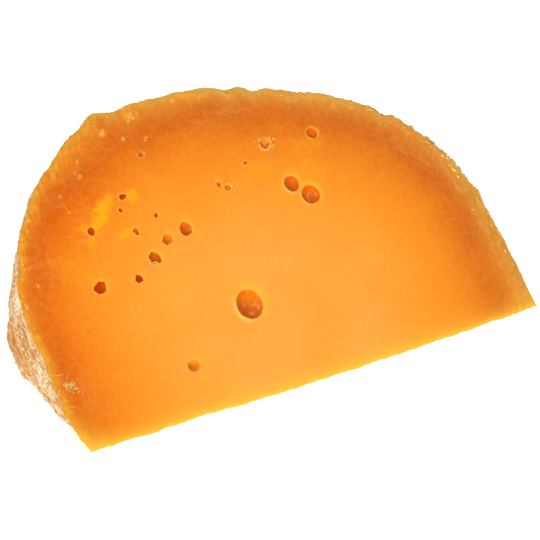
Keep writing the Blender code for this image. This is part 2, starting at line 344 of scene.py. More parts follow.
def rollShare(length):
    # length of the cut over the narrow length, 1 at most
    return np.minimum(1.0, length / (paste["narrowMm"] * mm))


def faceNormal():
    # (0, -sin(turn), cos(turn))
    return np.array([0.0, -math.sin(wedge["turn"]), math.cos(wedge["turn"])])


def ballPoints(reach, angle, turn):
    # x = reach cos(angle), y = reach sin(angle) cos(turn), z = reach sin(angle) sin(turn)
    out = reach * np.sin(angle)
    place = np.broadcast_arrays(reach * np.cos(angle), out * np.cos(turn), out * np.sin(turn))
    return np.stack(place, axis=-1)


def crowdedShare(rows, crowd):
    # share = t - crowd * sin(2 pi t) / (2 pi), so that the steps are finest at both ends
    t = np.linspace(0.0, 1.0, rows + 1)
    return t - crowd * np.sin(2.0 * math.pi * t) / (2.0 * math.pi)


def stationAngles():
    # even steps from the right end of the edge to its left end
    return np.linspace(wedge["rightEnd"], math.pi - wedge["leftEnd"], wedge["stations"])


def ringMesh(name, rings):
    # one or more closed bodies: rings of points, joined ring to ring by quads and capped at both ends
    count, around = rings.shape[-3:-1]
    index = np.arange(rings.size // 3).reshape(-1, count, around)
    here = index[:, :-1]
    there = index[:, 1:]
    quads = np.stack([here, there, np.roll(there, -1, axis=2), np.roll(here, -1, axis=2)], axis=3)
    faces = quads.reshape(-1, 4).tolist() + index[:, 0].tolist() + index[:, -1, ::-1].tolist()
    mesh = bpy.data.meshes.new(name)
    mesh.from_pydata(rings.reshape(-1, 3).tolist(), [], faces)
    turned = bmesh.new()
    turned.from_mesh(mesh)
    bmesh.ops.recalc_face_normals(turned, faces=turned.faces)
    turned.to_mesh(mesh)
    turned.free()
    return mesh


def newPiece(name, mesh):
    piece = bpy.data.objects.new(name, mesh)
    bpy.context.scene.collection.objects.link(piece)
    return piece


def meshPoints(mesh):
    flat = np.empty(len(mesh.vertices) * 3)
    mesh.vertices.foreach_get("co", flat)
    return flat.reshape(-1, 3)


def movePoints(mesh, shift):
    mesh.vertices.foreach_set("co", (meshPoints(mesh) + shift).ravel())
    mesh.update()


def addField(mesh, name, values):
    field = mesh.attributes.new(name, "FLOAT", "POINT")
    field.data.foreach_set("value", np.ascontiguousarray(values, dtype=np.float32))


def smoothShade(mesh, sharpDegrees):
    mesh.polygons.foreach_set("use_smooth", np.ones(len(mesh.polygons), dtype=bool))
    mesh.set_sharp_from_angle(angle=math.radians(sharpDegrees))


# Paste

def pasteRings():
    # one closed ring per station: under the rind, down the leaning cut, round the edge, back along the base
    angle = stationAngles()
    angles, turns = np.meshgrid(angle, underTurns(paste["rindRows"]), indexing="ij")
    side = ballPoints(rindReach(angles, turns) - rindThickness(angles, turns), angles, turns)
    x = edgeAlong(angle)
    ragged = waveSum(paste["edgeBands"], paste["edgeSeed"], x, 0.0 * x, 0.2)
    y = edgeAcross(x)
    # the nose of the edge is an arc that touches both cuts: centre + radius * (-sin, cos) of a falling angle
    radius = wedge["nose"] * math.tan(wedge["turn"] / 2.0)
    corner = np.linspace(wedge["turn"], math.pi, paste["noseRows"] + 1)
    edge = np.stack([
        np.broadcast_to(x[:, None], (len(x), len(corner))),
        y[:, None] + wedge["nose"] - radius * np.sin(corner)[None],
        np.broadcast_to(radius + radius * np.cos(corner)[None], (len(x), len(corner)))], axis=-1)
    edge[..., 1] += ragged[:, None]
    share = crowdedShare(paste["faceRows"], paste["crowd"])[:, None]
    rim = side[:, -1]
    smooth = edge - np.array([0.0, 1.0, 0.0]) * ragged[:, None, None]
    face = rim[:, None] + (smooth[:, 0] - rim)[:, None] * share[None]
    length = np.linalg.norm(smooth[:, 0] - rim, axis=1)[:, None]
    depth = share[None, :, 0] * length
    # the leaning cut is ragged next to the edge only
    face[..., 1] += ragged[:, None] * edgeFade(length - depth)
    drop = faceRoll(angle[:, None], depth) * rollShare(length)
    face = face - drop[..., None] * faceNormal()
    baseShare = crowdedShare(paste["baseRows"], paste["crowd"])[1:-1, None]
    base = smooth[:, -1][:, None] + (side[:, 0] - smooth[:, -1])[:, None] * baseShare[None]
    return np.concatenate([side[:, :-1], face[:, :-1], edge, base], axis=1)


def bubbleRings(centre, across, up, out, eye, seed):
    # a ball of radius * (1 + ragged waves), stretched along the oval; its poles lie on the cut's normal
    width, sunk, oval, lie, ragged = eye[2] * mm, eye[3], eye[4], math.radians(eye[5]), eye[6]
    radius = math.hypot(width / 2.0, sunk * width)
    tilt = np.linspace(bubbles["poleGap"], math.pi - bubbles["poleGap"], bubbles["rings"])[:, None]
    spin = np.linspace(0.0, 2.0 * math.pi, bubbles["spokes"], endpoint=False)[None]
    draw = np.random.default_rng(seed)
    wobble = np.zeros((bubbles["rings"], bubbles["spokes"]))
    for order in bubbles["raggedOrders"]:
        wobble = wobble + np.sin(order * spin + draw.uniform(0.0, 6.28) + 1.5 * np.cos(tilt)) / order ** 0.55
    reach = radius * (1.0 + ragged * 1.5 * wobble * np.sin(tilt))
    first = reach * np.sin(tilt) * np.cos(spin) * math.sqrt(oval)
    second = reach * np.sin(tilt) * np.sin(spin) / math.sqrt(oval)
    third = reach * np.cos(tilt) * np.ones_like(spin)
    along = across * math.cos(lie) + up * math.sin(lie)
    beside = up * math.cos(lie) - across * math.sin(lie)
    return centre + first[..., None] * along + second[..., None] * beside + third[..., None] * out


def facePoint(x, r):
    # a point of the leaning cut, (x, r cos(turn) + shift, r sin(turn)), where shift is the bow of the edge,
    # which fades from the edge to the rim
    rim = float(cosineReach(wedge["faceTermsMm"], math.atan2(r, x))) * math.sin(math.atan2(r, x))
    shift = float(edgeAcross(x)) * max(0.0, 1.0 - r / rim)
    return np.array([x, r * math.cos(wedge["turn"]) + shift, r * math.sin(wedge["turn"])])


def basePoint(x, r):
    # a point of the resting cut: (x, r, 0)
    return np.array([x, r, 0.0])


def eyeList():
    # every gas hole as (row of its table, mouth, centre, across, up, outward normal)
    along = np.array([1.0, 0.0, 0.0])
    up = np.array([0.0, math.cos(wedge["turn"]), math.sin(wedge["turn"])])
    listed = []
    for table, mouthAt, rise, out in (
            (faceEyes, facePoint, up, faceNormal()),
            (baseEyes, basePoint, np.array([0.0, 1.0, 0.0]), np.array([0.0, 0.0, -1.0]))):
        for eye in table:
            mouth = mouthAt(eye[0] * mm, eye[1] * mm)
            listed.append((eye, mouth, mouth - out * eye[3] * eye[2] * mm, along, rise, out))
    return listed


def cutEyes(body, eyes):
    # one Boolean takes every bubble away from the paste
    rings = [
        bubbleRings(centre, across, up, out, eye, bubbles["seed"] + number)
        for number, (eye, mouth, centre, across, up, out) in enumerate(eyes)]
    cutter = newPiece("bubbles", ringMesh("bubbles", np.stack(rings)))
    cut = body.modifiers.new("eyes", "BOOLEAN")
    cut.operation = "DIFFERENCE"
    cut.solver = "MANIFOLD"
    cut.object = cutter
    graph = bpy.context.evaluated_depsgraph_get()
    result = bpy.data.meshes.new_from_object(body.evaluated_get(graph))
    body.modifiers.clear()
    body.data = result
    bpy.data.objects.remove(cutter, do_unlink=True)


def patchField(patches, x, r):
    # the strongest of strength * smooth step of 1.1 - (2 u / length) ^ 2 - (2 v / width) ^ 2 + waves / 5,
    # where u and v lie along and across the patch
    field = np.zeros_like(x)
    ragged = waveSum(paste["patchBands"], paste["patchSeed"], x / mm, r / mm, 3.14) / mm
    for middleX, middleR, length, width, turned, strength in patches:
        angle = math.radians(turned)
        u = (x - middleX * mm) * math.cos(angle) + (r - middleR * mm) * math.sin(angle)
        v = (r - middleR * mm) * math.cos(angle) - (x - middleX * mm) * math.sin(angle)
        inside = 1.1 - (2.0 * u / (length * mm)) ** 2 - (2.0 * v / (width * mm)) ** 2 + 0.20 * ragged
        field = np.maximum(field, strength * smoothStep(inside))
    return field


def refineSpots(mesh, eyes):
    # edges longer than the fine step are halved again and again near a gas hole, a strong smear or a blister
    spots = [(mouth, eye[2] * mm * 0.95 + 0.0006) for eye, mouth, centre, across, up, out in eyes]
    spots += [(facePoint(row[0] * mm, row[1] * mm), row[2] * mm * 0.50) for row in smears if row[5] > 0.4]
    spots += [(facePoint(row[0] * mm, row[1] * mm), row[2] * mm) for row in trimmings["beads"]]
    for _ in range(paste["fineTimes"]):
        points = meshPoints(mesh)
        ends = np.empty(len(mesh.edges) * 2, dtype=np.int64)
        mesh.edges.foreach_get("vertices", ends)
        first, second = points[ends[0::2]], points[ends[1::2]]
        middle = (first + second) / 2.0
        near = np.zeros(len(middle), dtype=bool)
        for place, reach in spots:
            near |= np.linalg.norm(middle - place, axis=1) < reach
        near &= np.linalg.norm(first - second, axis=1) > paste["fineMm"] * mm
        fine = bmesh.new()
        fine.from_mesh(mesh)
        fine.edges.ensure_lookup_table()
        chosen = [fine.edges[number] for number in np.flatnonzero(near)]
        bmesh.ops.subdivide_edges(fine, edges=chosen, cuts=1, use_grid_fill=True)
        bmesh.ops.triangulate(fine, faces=[face for face in fine.faces if len(face.verts) > 4])
        fine.to_mesh(mesh)
        fine.free()
    dropDoubled(mesh)


def dropDoubled(mesh):
    # two triangles on the same three corners lie flat on each other: both go, and what only they used
    whole = bmesh.new()
    whole.from_mesh(mesh)
    byCorners = {}
    for face in whole.faces:
        if len(face.verts) == 3:
            byCorners.setdefault(frozenset(face.verts), []).append(face)
    doubled = [face for group in byCorners.values() if len(group) > 1 for face in group]
    bmesh.ops.delete(whole, geom=doubled, context="FACES")
    whole.to_mesh(mesh)
    whole.free()


def eyeFields(points, eyes):
    # round each gas hole, with q the distance from its middle in half widths of its oval:
    # lip = exp(-((q - 1.12) / (0.10 + 0.18 mm / width)) ^ 2) on the lip's side,
    # worn = exp(-((q - 1) / spread) ^ 2) on the other, halo = exp(-((q - 1.10) / spread) ^ 2) round both,
    # and pocket = depth below the cut in radii of the bubble
    names = ("pocket", "paintedEyeShade", "paintedLitSide", "lip", "halo")
    fields = {name: np.zeros(len(points)) for name in names}
    raised = np.zeros((len(points), 3))
    for number, (eye, mouth, centre, across, up, outward) in enumerate(eyes):
        width, lie = eye[2] * mm, math.radians(eye[5])
        radius = math.hypot(width / 2.0, eye[3] * width)
        sunk = -((points - mouth) @ outward)
        flat = points - mouth + sunk[:, None] * outward
        a, b = flat @ across, flat @ up
        u = (a * math.cos(lie) + b * math.sin(lie)) / math.sqrt(eye[4])
        v = (b * math.cos(lie) - a * math.sin(lie)) * math.sqrt(eye[4])
        q = np.hypot(u, v) / (width / 2.0)
        spin = np.arctan2(b, a)
        close = (np.abs(sunk) < 2.2 * radius) & (q < 2.2)
        inside = close & (np.linalg.norm(points - centre, axis=1) < radius * bubbles["inRadii"])
        inside &= sunk > bubbles["below"]
        # the side field marks where the wall is painted lit (1) or shaded (-1); the shade column gives how
        # much painted shade the hole gets
        light = (a * math.cos(paste["lightSide"]) + b * math.sin(paste["lightSide"])) / (width / 2.0)
        for name, value in (
                ("pocket", np.clip(sunk / radius, 0.0, 1.6)), ("paintedEyeShade", eye[7]),
                ("paintedLitSide", np.clip(light, -1.0, 1.0))):
            fields[name] = np.where(inside, value, fields[name])
        lipSide = 0.5 + 0.5 * np.cos(spin - paste["lipSide"])
        torn = np.clip(0.3 + 1.1 * np.sin(2.0 * spin + number) * np.cos(spin * 3.0 + number * 2.3), 0.0, 1.0)
        clean = 1.0 - min(1.0, eye[6] / 0.12)
        kept = clean * lipSide ** 5 + (1.0 - clean) * torn
        onCut = close & (np.abs(sunk) < bubbles["onCut"])
        # the lip's mark also paints it pale: torn pale paste, and on the lip's side of the clean holes a
        # painted highlight where the light falls
        lip = eye[8] * kept * hill((q - 1.12) / (0.10 + 0.00018 / width)) * onCut
        halo = hill((q - 1.10) / bubbles["haloWhere"]) * onCut * (1.0 - 0.7 * lipSide)
        worn = (1.0 - lipSide) * hill((q - 1.0) / bubbles["wornWhere"]) * close
        fields["lip"] = np.maximum(fields["lip"], lip)
        fields["halo"] = np.maximum(fields["halo"], halo)
        height = lip * paste["lipMm"] * mm - worn * paste["wornShare"] * width
        raised = raised + outward * height[:, None]
    return fields, raised


def blisterField(points):
    # bump = exp(-(distance / (spread * width)) ^ 2), which colours the paste and raises it by a share
    # of the width
    field = np.zeros(len(points))
    height = np.zeros(len(points))
    for placeX, placeR, widthMm, tone in trimmings["beads"]:
        away = np.linalg.norm(points - facePoint(placeX * mm, placeR * mm), axis=1) / (widthMm * mm)
        bump = hill(away / paste["blisterSpread"])
        field = np.maximum(field, bump)
        height = height + bump * widthMm * mm * paste["blisterShare"]
    return field, height


def pasteFields(mesh, eyes):
    # depth in from the rind in mm, shifted where the aged band lies further in or out, and
    # painted glow of light through the thin edge = exp(-distance from the edge / its width); then what the
    # gas holes and blisters give
    points = meshPoints(mesh)
    x, y, z = points.T
    out = np.hypot(y - edgeAcross(x) * 0.5, z)
    angle = np.clip(np.arctan2(out, x), wedge["rightEnd"], math.pi - wedge["leftEnd"])
    turn = np.clip(np.arctan2(z, y), 0.0, wedge["turn"])
    rimDepth = (rindReach(angle, turn) - np.hypot(x, out)) / mm
    settle = smoothStep((rimDepth - paste["ageFromMm"]) / paste["ageOverMm"])
    onFace = np.abs(points @ faceNormal() + edgeAcross(x) * math.sin(wedge["turn"]) * 0.5) < paste["onFace"]
    cornerAt, wider, spread = paste["glowCorner"]
    glowWidth = (paste["glowMm"] + wider * hill((x / mm - cornerAt) / spread)) * mm
    fields, raised = eyeFields(points, eyes)
    fields["blister"], height = blisterField(points)
    fields["rimDepth"] = rimDepth + byAngle(paste["ageShiftMm"], angle) * settle
    fields["paintedEdgeGlow"] = np.exp(-np.hypot(y - edgeAcross(x), z) / glowWidth)
    fields["smear"] = patchField(smears, x, out) * onFace
    fields["paintedSheen"] = patchField(sheenPatches, x, out) * onFace
    fields["rimAlong"] = angle * wedge["rimMm"]
    frayShare = byAngle(paste["frayedAngles"], angle)
    fields["frayed"] = frayShare * hill(rimDepth / paste["frayedMm"]) * onFace
    for name, values in fields.items():
        addField(mesh, name, values)
    raised = raised + faceNormal() * height[:, None]
    raised[:, 2] = np.maximum(raised[:, 2], -z)
    movePoints(mesh, raised)


def buildPaste(eyes):
    body = newPiece("cheese_paste", ringMesh("cheese_paste", pasteRings()))
    cutEyes(body, eyes)
    refineSpots(body.data, eyes)
    pasteFields(body.data, eyes)
    smoothShade(body.data, 38.0)
    return body


# Rind

def pitField(angle, turn):
    # deepest of many small bowls: depth * exp(-(distance / width) ^ 2), and the share of the deepest
    draw = np.random.default_rng(rind["pitSeed"])
    count = rind["pits"]
    places = draw.uniform(0.0, math.pi, count)
    turns = draw.uniform(-0.02, wedge["turn"] * 1.02, count)
    width = draw.uniform(rind["pitWidthMm"][0], rind["pitWidthMm"][1], count) * mm * 0.5
    deep = draw.uniform(rind["pitDepthMm"][0], rind["pitDepthMm"][1], count) * mm
    row = angle[:, 0]
    rim = wedge["rimMm"] * mm
    depth = np.zeros_like(angle)
    dark = np.zeros_like(angle)
    for place, spin, wide, tall in zip(places, turns, width, deep):
        low, high = np.searchsorted(row, (place - 0.04, place + 0.04))
        if high <= low:
            continue
        a = angle[low:high]
        distance = rim * np.hypot(a - place, (turn[low:high] - spin) * np.sin(a))
        bowl = tall * hill(distance / wide)
        depth[low:high] = np.maximum(depth[low:high], bowl)
        dark[low:high] = np.maximum(dark[low:high], bowl / (rind["pitDepthMm"][1] * mm))
    return depth, dark


def buildRind():
    # outer surface = reach + grain - pits, inner surface = reach - thickness, joined round both cuts;
    # the grain and pits are less where the rind is thinner
    angle = stationAngles()
    angle = angle[angle < rind["thinsTo"] + 0.01]
    outerTurn = crowdedShare(rind["outerRows"], 0.45) * wedge["turn"]
    angles, turns = np.meshgrid(angle, outerTurn, indexing="ij")
    grain = waveSum(rind["grainBands"], rind["grainSeed"], angles, turns * np.sin(angles), 3.14)
    pits, dark = pitField(angles, turns)
    reach = rindReach(angles, turns)
    thickness = rindThickness(angles, turns)
    share = np.clip(thickness / (rind["thickMm"] * mm), 0.0, 1.0)
    relief = np.maximum((grain - pits) * share, -rind["deepest"] * thickness)
    outer = ballPoints(reach + relief, angles, turns)
    underAngles, under = np.meshgrid(angle, underTurns(paste["rindRows"])[::-1], indexing="ij")
    inner = ballPoints(rindReach(underAngles, under) - rindThickness(underAngles, under), underAngles, under)
    cutDepth = (wedge["turn"] - turns) * reach * np.sin(angles)
    # next to the leaning cut the skin follows its rolled rim down
    drop = faceRoll(angle, 0.0 * angle) * rollShare(reach[:, -1] * np.sin(angle))
    outer = outer - (drop[:, None] * edgeFade(cutDepth))[..., None] * faceNormal()
    inner[:, 0] = inner[:, 0] - drop[:, None] * faceNormal()
    outer[..., 2] = np.maximum(outer[..., 2], 0.0)
    piece = newPiece("cheese_rind", ringMesh("cheese_rind", np.concatenate([outer, inner], axis=1)))
    cream = byAngle(rind["creamAngles"], angles)
    gilt = byAngle(rind["giltAngles"], angles)
    toned = np.zeros_like(angles)
    for place, side, spread, sideSpread, strength in rind["patches"]:
        away = ((angles - place) / spread) ** 2 + ((turns / wedge["turn"] - side) / sideSpread) ** 2
        toned = toned + strength * np.exp(-away)
    for name, field, within in (
            ("pit", dark, 0.0), ("grain", relief / mm, 0.0), ("toned", toned, 0.0),
            ("along", angles * wedge["rimMm"], 0.0), ("across", cutDepth / mm, 0.0),
            ("cream", cream * hill(cutDepth / mm / rind["creamMm"]), 0.0),
            ("gilt", gilt * np.exp(-((cutDepth / mm / rind["giltMm"]) ** 4)), 1.0)):
        addField(piece.data, name, np.concatenate([field, np.full(under.shape, within)], axis=1).ravel())
    smoothShade(piece.data, 60.0)
    return piece


# Shreds, crumbs, drops and scraps

trimmings = {
    "seed": 31,
    "shredGrid": (13, 8),                  # stations along and points round a shred, then a crumb or scrap
    "scrapGrid": (7, 6),
    # curled shreds: place along the edge, out from it, length, width in mm, heading, curl in degrees, tone
    "shreds": (
        (-79.2, 23.4, 4.8, 0.22, -14, 16, 0.60), (-76.2, 22.0, 1.5, 0.24, 60, 40, 0.70),
        (-79.6, 18.9, 1.6, 0.22, 55, 20, 0.58), (-77.8, 13.5, 3.2, 0.20, -16, 14, 0.58),
        (66.1, 54.8, 1.3, 0.50, -52, 20, 0.95), (68.2, 49.2, 1.5, 0.60, -60, 20, 0.97),
        (68.7, 46.8, 1.2, 0.50, -40, 30, 0.90), (73.3, 31.6, 1.2, 0.50, -70, 10, 0.92),
        (75.2, 18.8, 1.1, 0.45, -75, 10, 0.88), (67.4, 53.6, 1.0, 0.40, -80, 20, 0.90),
        (74.0, 28.2, 1.0, 0.40, -60, 20, 0.85), (75.6, 13.4, 0.9, 0.40, -80, 10, 0.85),
        (-23.9, 51.4, 1.4, 0.30, 70, 30, 0.66), (-5.0, 60.8, 1.0, 0.22, 30, 20, 0.50),
        (-3.1, 59.2, 0.8, 0.24, 60, 20, 0.50),
        (52.1, 60.3, 3.2, 0.14, -62, 8, 0.52), (53.4, 58.9, 2.6, 0.12, -60, 6, 0.50),
        (55.7, 57.7, 3.0, 0.12, -64, 8, 0.52), (57.6, 55.6, 2.2, 0.12, -66, 8, 0.50),
        (-39.9, 47.9, 2.3, 0.50, -58, 30, 0.85), (-41.3, 48.6, 1.4, 0.36, 10, 30, 0.75),
    ),
    # heaps of crumbs: place along the edge, out from it, spread in mm, how many, palest tone
    "heaps": (
        (-76.4, 19.4, 0.90, 22, 0.80), (-75.6, 17.2, 1.30, 9, 0.68), (-44.0, 46.0, 0.50, 3, 0.66),
        (-41.2, 46.6, 0.70, 5, 0.74), (5.4, 75.2, 0.55, 5, 0.76), (5.6, 72.2, 0.55, 4, 0.74),
        (9.6, 74.6, 0.60, 5, 0.74), (9.6, 72.4, 0.50, 3, 0.70), (-13.2, 66.4, 0.45, 4, 0.78),
        (-8.0, 62.6, 0.50, 4, 0.76), (-60.6, 46.0, 0.50, 3, 0.68), (-23.6, 52.4, 0.60, 3, 0.70),
        (-56.4, 59.6, 0.50, 3, 0.70), (-41.0, 70.2, 0.60, 4, 0.70), (-34.6, 62.4, 0.35, 2, 0.66),
        (8.4, 61.6, 0.45, 3, 0.80), (13.2, 56.6, 0.35, 2, 0.80),
    ),
    # blisters: place along the edge, out from it, width of the group in mm, tone
    "beads": (
        (-36.3, 85.9, 1.3, 0.66), (-29.5, 84.5, 1.1, 0.62), (-52.9, 78.1, 1.3, 0.60),
        (-60.7, 73.7, 1.0, 0.58), (-52.4, 82.4, 0.9, 0.62), (-59.7, 68.4, 0.8, 0.56),
        (-42.0, 89.2, 2.2, 0.66), (-31.5, 91.9, 2.2, 0.68), (-32.9, 90.9, 1.2, 0.66),
        (-16.7, 94.0, 1.7, 0.64), (-75.7, 64.2, 1.0, 0.70), (-54.2, 79.4, 1.0, 0.66),
        (-60.4, 80.3, 1.2, 0.66), (-72.0, 68.8, 1.0, 0.70), (-75.7, 49.7, 0.9, 0.74),
        (-76.5, 44.4, 0.7, 0.70), (-73.4, 66.2, 0.8, 0.72), (-77.9, 56.8, 0.8, 0.74),
        (-79.4, 52.6, 0.8, 0.72), (-80.6, 45.0, 1.0, 0.74), (68.7, 51.6, 1.2, 0.80),
        (69.2, 49.1, 1.0, 0.80), (67.4, 56.9, 0.9, 0.76), (73.8, 32.0, 1.0, 0.76),
    ),
    "beadsInGroup": 2,                     # drops on each blister, and their widths as shares of its own
    "beadWidths": (0.22, 0.50),
    "beadGrid": (9, 14),                   # rows and points round a drop, and the angle left at its poles
    "beadPole": 0.12,
    # crumbs: length in mm, width in lengths, curl in degrees, how much darker than the heap's palest
    "crumbMm": (0.40, 1.25),
    "crumbWide": (0.34, 0.66),
    "crumbCurl": (-60.0, 60.0),
    "crumbDarker": (0.0, 0.28),
    # scraps frayed along the rim of the cut: how many, between which angles, length, width in mm, dark share
    "frays": (
        (200, (0.03, 1.10), (0.6, 1.8), (0.26, 0.60), 0.03),
        (50, (1.10, 2.00), (0.4, 1.0), (0.20, 0.40), 0.02),
        (70, (2.00, 2.95), (0.3, 0.9), (0.20, 0.40), 0.00),
    ),
    "frayBackMm": 0.8,                     # how far in from the rim they lie in the mean
    "fraySway": 16.0,                      # how far they turn from the rim, and their curl, in degrees
    "frayCurl": (-25.0, 25.0),
    "frayTones": (0.36, 0.72),             # of the pale ones, then of the dark ones
    "frayDark": 0.08,
}


def frayTable():
    # seeded scraps that lie along the rim, most of them within a millimetre or two of it
    draw = np.random.default_rng(trimmings["seed"])
    tables = []
    for count, angles, lengths, widths, darkShare in trimmings["frays"]:
        angle = draw.uniform(*angles, count)
        rim = cosineReach(wedge["faceTermsMm"], angle) / mm - 0.1
        reach = rim - draw.exponential(trimmings["frayBackMm"], count)
        heading = np.degrees(angle) + 90.0 + draw.normal(0.0, trimmings["fraySway"], count)
        dark = draw.random(count) < darkShare
        tone = np.where(dark, trimmings["frayDark"], draw.uniform(*trimmings["frayTones"], count))
        length, width = draw.uniform(*lengths, count), draw.uniform(*widths, count)
        curl = draw.uniform(*trimmings["frayCurl"], count)
        tables.append(np.column_stack([
            reach * np.cos(angle), reach * np.sin(angle), length, width, heading, curl, tone]))
    return np.concatenate(tables)


def crumbTable():
    # each heap scatters its crumbs by its spread, in sizes, headings, curls and tones of their own
    draw = np.random.default_rng(trimmings["seed"] + 2)
    heaps = np.array(trimmings["heaps"])
    heaps = np.repeat(heaps, heaps[:, 3].astype(int), axis=0)
    count = len(heaps)
    place = heaps[:, :2] + draw.normal(0.0, 1.0, (count, 2)) * heaps[:, 2:3]
    length = draw.uniform(*trimmings["crumbMm"], count)
    width = length * draw.uniform(*trimmings["crumbWide"], count)
    heading = draw.uniform(0.0, 180.0, count)
    curl = draw.uniform(*trimmings["crumbCurl"], count)
    tone = heaps[:, 4] - draw.uniform(*trimmings["crumbDarker"], count)
    return np.column_stack([place, length, width, heading, curl, tone])


def beadTable():
    # a few drops on each blister: places scattered by a third of its width, sizes a fifth to a half of it
    draw = np.random.default_rng(trimmings["seed"] + 1)
    table = np.repeat(np.array(trimmings["beads"]), trimmings["beadsInGroup"], axis=0)
    table[:, :2] += draw.normal(0.0, 1.0, (len(table), 2)) * table[:, 2:3] * 0.33
    table[:, 2] *= draw.uniform(*trimmings["beadWidths"], len(table))
    table[:, 3] += draw.uniform(-0.14, 0.06, len(table))
    return table


def layOn(tree, table):
    # for each row of a table: its nearest point on the paste and the outward normal there
    hits = [tree.find_nearest(Vector(facePoint(row[0] * mm, row[1] * mm))) for row in table]
    return np.array([hit[0] for hit in hits]), np.array([hit[1] for hit in hits])


def shredRings(table, place, out, stations, around):
    # a bent strip: u = length * sin(curl * t) / curl, v = length * (1 - cos(curl * t)) / curl
    # for t from -1/2 to 1/2, with a flat oval section that tapers as the root of 1 - (2 t) ^ 2
    t = np.linspace(-0.49, 0.49, stations)[None]
    length, width = table[:, 2:3] * mm, table[:, 3:4] * mm
    heading = np.radians(table[:, 4:5])
    curl = np.radians(np.where(np.abs(table[:, 5:6]) < 5.0, 5.0, table[:, 5:6]))
    u = length * np.sin(curl * t) / curl
    v = length * (1.0 - np.cos(curl * t)) / curl
    up = np.array([0.0, math.cos(wedge["turn"]), math.sin(wedge["turn"])])
    along = np.cos(heading) * np.array([1.0, 0.0, 0.0]) + np.sin(heading) * up
    along = along - (along * out).sum(axis=1, keepdims=True) * out
    along = along / np.linalg.norm(along, axis=1, keepdims=True)
    beside = np.cross(out, along)
    taper = np.sqrt(1.0 - (2.0 * t) ** 2)
    lift = width * 0.25 + length * 0.10 * (2.0 * t) ** 2
    line = place[:, None] + u[..., None] * along[:, None] + v[..., None] * beside[:, None]
    line = line + lift[..., None] * out[:, None]
    spin = np.linspace(0.0, 2.0 * math.pi, around, endpoint=False)
    wide = (width * taper / 2.0)[..., None, None] * np.cos(spin)[:, None] * beside[:, None, None]
    thick = (width * taper / 3.2)[..., None, None] * np.sin(spin)[:, None] * out[:, None, None]
    return line[:, :, None] + wide + thick


def beadRings(table, place, out):
    # a drop: radius * sin(tilt) * (1 + uneven) round the normal, 0.6 * radius * cos(tilt) along it
    (rows, around), pole = trimmings["beadGrid"], trimmings["beadPole"]
    tilt = np.linspace(pole, math.pi - pole, rows)[None, :, None, None]
    spin = np.linspace(0.0, 2.0 * math.pi, around, endpoint=False)[None, None, :, None]
    radius = (table[:, 2] * mm / 2.0)[:, None, None, None]
    across = np.cross(out, np.array([0.0, 0.6, 0.8]))
    across = (across / np.linalg.norm(across, axis=1, keepdims=True))[:, None, None]
    normal = out[:, None, None]
    beside = np.cross(normal, across)
    uneven = 0.16 * np.sin(2.0 * spin + radius * 90000.0) + 0.10 * np.sin(3.0 * spin + radius * 210000.0)
    flat = radius * np.sin(tilt) * (1.0 + uneven) * (np.cos(spin) * across + np.sin(spin) * beside)
    return place[:, None, None] + flat + 0.6 * radius * np.cos(tilt) * normal


def buildShreds(body):
    # everything small is laid on the paste where it is nearest, and joined into one piece
    listed = bmesh.new()
    listed.from_mesh(body.data)
    tree = BVHTree.FromBMesh(listed)
    listed.free()
    shreds = np.array(trimmings["shreds"])
    scraps = np.concatenate([crumbTable(), frayTable()])
    beads = beadTable()
    joined = bmesh.new()
    for rings, tones in (
            (shredRings(shreds, *layOn(tree, shreds), *trimmings["shredGrid"]), shreds[:, 6]),
            (shredRings(scraps, *layOn(tree, scraps), *trimmings["scrapGrid"]), scraps[:, 6]),
            (beadRings(beads, *layOn(tree, beads)), beads[:, 3])):
        mesh = ringMesh("trimmings", rings)
        addField(mesh, "tone", np.repeat(tones, rings.shape[1] * rings.shape[2]))
        joined.from_mesh(mesh)
        bpy.data.meshes.remove(mesh)
    whole = bpy.data.meshes.new("cheese_shreds")
    joined.to_mesh(whole)
    joined.free()
    smoothShade(whole, 60.0)
    return newPiece("cheese_shreds", whole)


# Materials

def startMaterial(name):
    material = bpy.data.materials.new(name)
    material.use_nodes = True
    return material, material.node_tree, material.node_tree.nodes["Principled BSDF"]


def addNode(tree, kind, links=None, **settings):
    # a node with its settings; links maps an input's name or number to a socket or a value
    node = tree.nodes.new(kind)
    for key, value in settings.items():
        setattr(node, key, value)
    for key, value in (links or {}).items():
        if isinstance(value, bpy.types.NodeSocket):
            tree.links.new(value, node.inputs[key])
        else:
            node.inputs[key].default_value = value
    return node


def fieldsOf(tree, names):
    # the named fields of the mesh, each read by a node of its own
    nodes = {
        name: addNode(tree, "ShaderNodeAttribute", attribute_name=name, attribute_type="GEOMETRY")
        for name in names}
    return {name: node.outputs["Fac"] for name, node in nodes.items()}


def noiseAt(tree, place, scale, detail=2.0, roughness=0.5, stretch=(1.0, 1.0, 1.0), distortion=0.0):
    mapped = addNode(tree, "ShaderNodeMapping", {"Vector": place, "Scale": stretch}).outputs["Vector"]
    links = {
        "Vector": mapped, "Scale": scale, "Detail": detail, "Roughness": roughness, "Distortion": distortion}
    return addNode(tree, "ShaderNodeTexNoise", links).outputs["Fac"]


def mathOf(tree, operation, first, second):
    return addNode(tree, "ShaderNodeMath", {0: first, 1: second}, operation=operation).outputs[0]


def timesOf(tree, first, second):
    return mathOf(tree, "MULTIPLY", first, second)


def rangeOf(tree, value, low, high, toLow=0.0, toHigh=1.0, smooth=True):
    links = {"Value": value, "From Min": low, "From Max": high, "To Min": toLow, "To Max": toHigh}
    shape = "SMOOTHSTEP" if smooth else "LINEAR"
    return addNode(tree, "ShaderNodeMapRange", links, interpolation_type=shape).outputs["Result"]


def mixColour(tree, share, first, second, blend="MIX"):
    # the colour mix's own inputs are 0, 6 and 7, and its colour comes out at 2
    links = {0: share, 6: first, 7: second}
    return addNode(tree, "ShaderNodeMix", links, data_type="RGBA", blend_type=blend).outputs[2]


def layered(tree, colour, layers):
    # each layer covers those before it by its share
    for share, finish in layers:
        colour = mixColour(tree, share, colour, finish)
    return colour


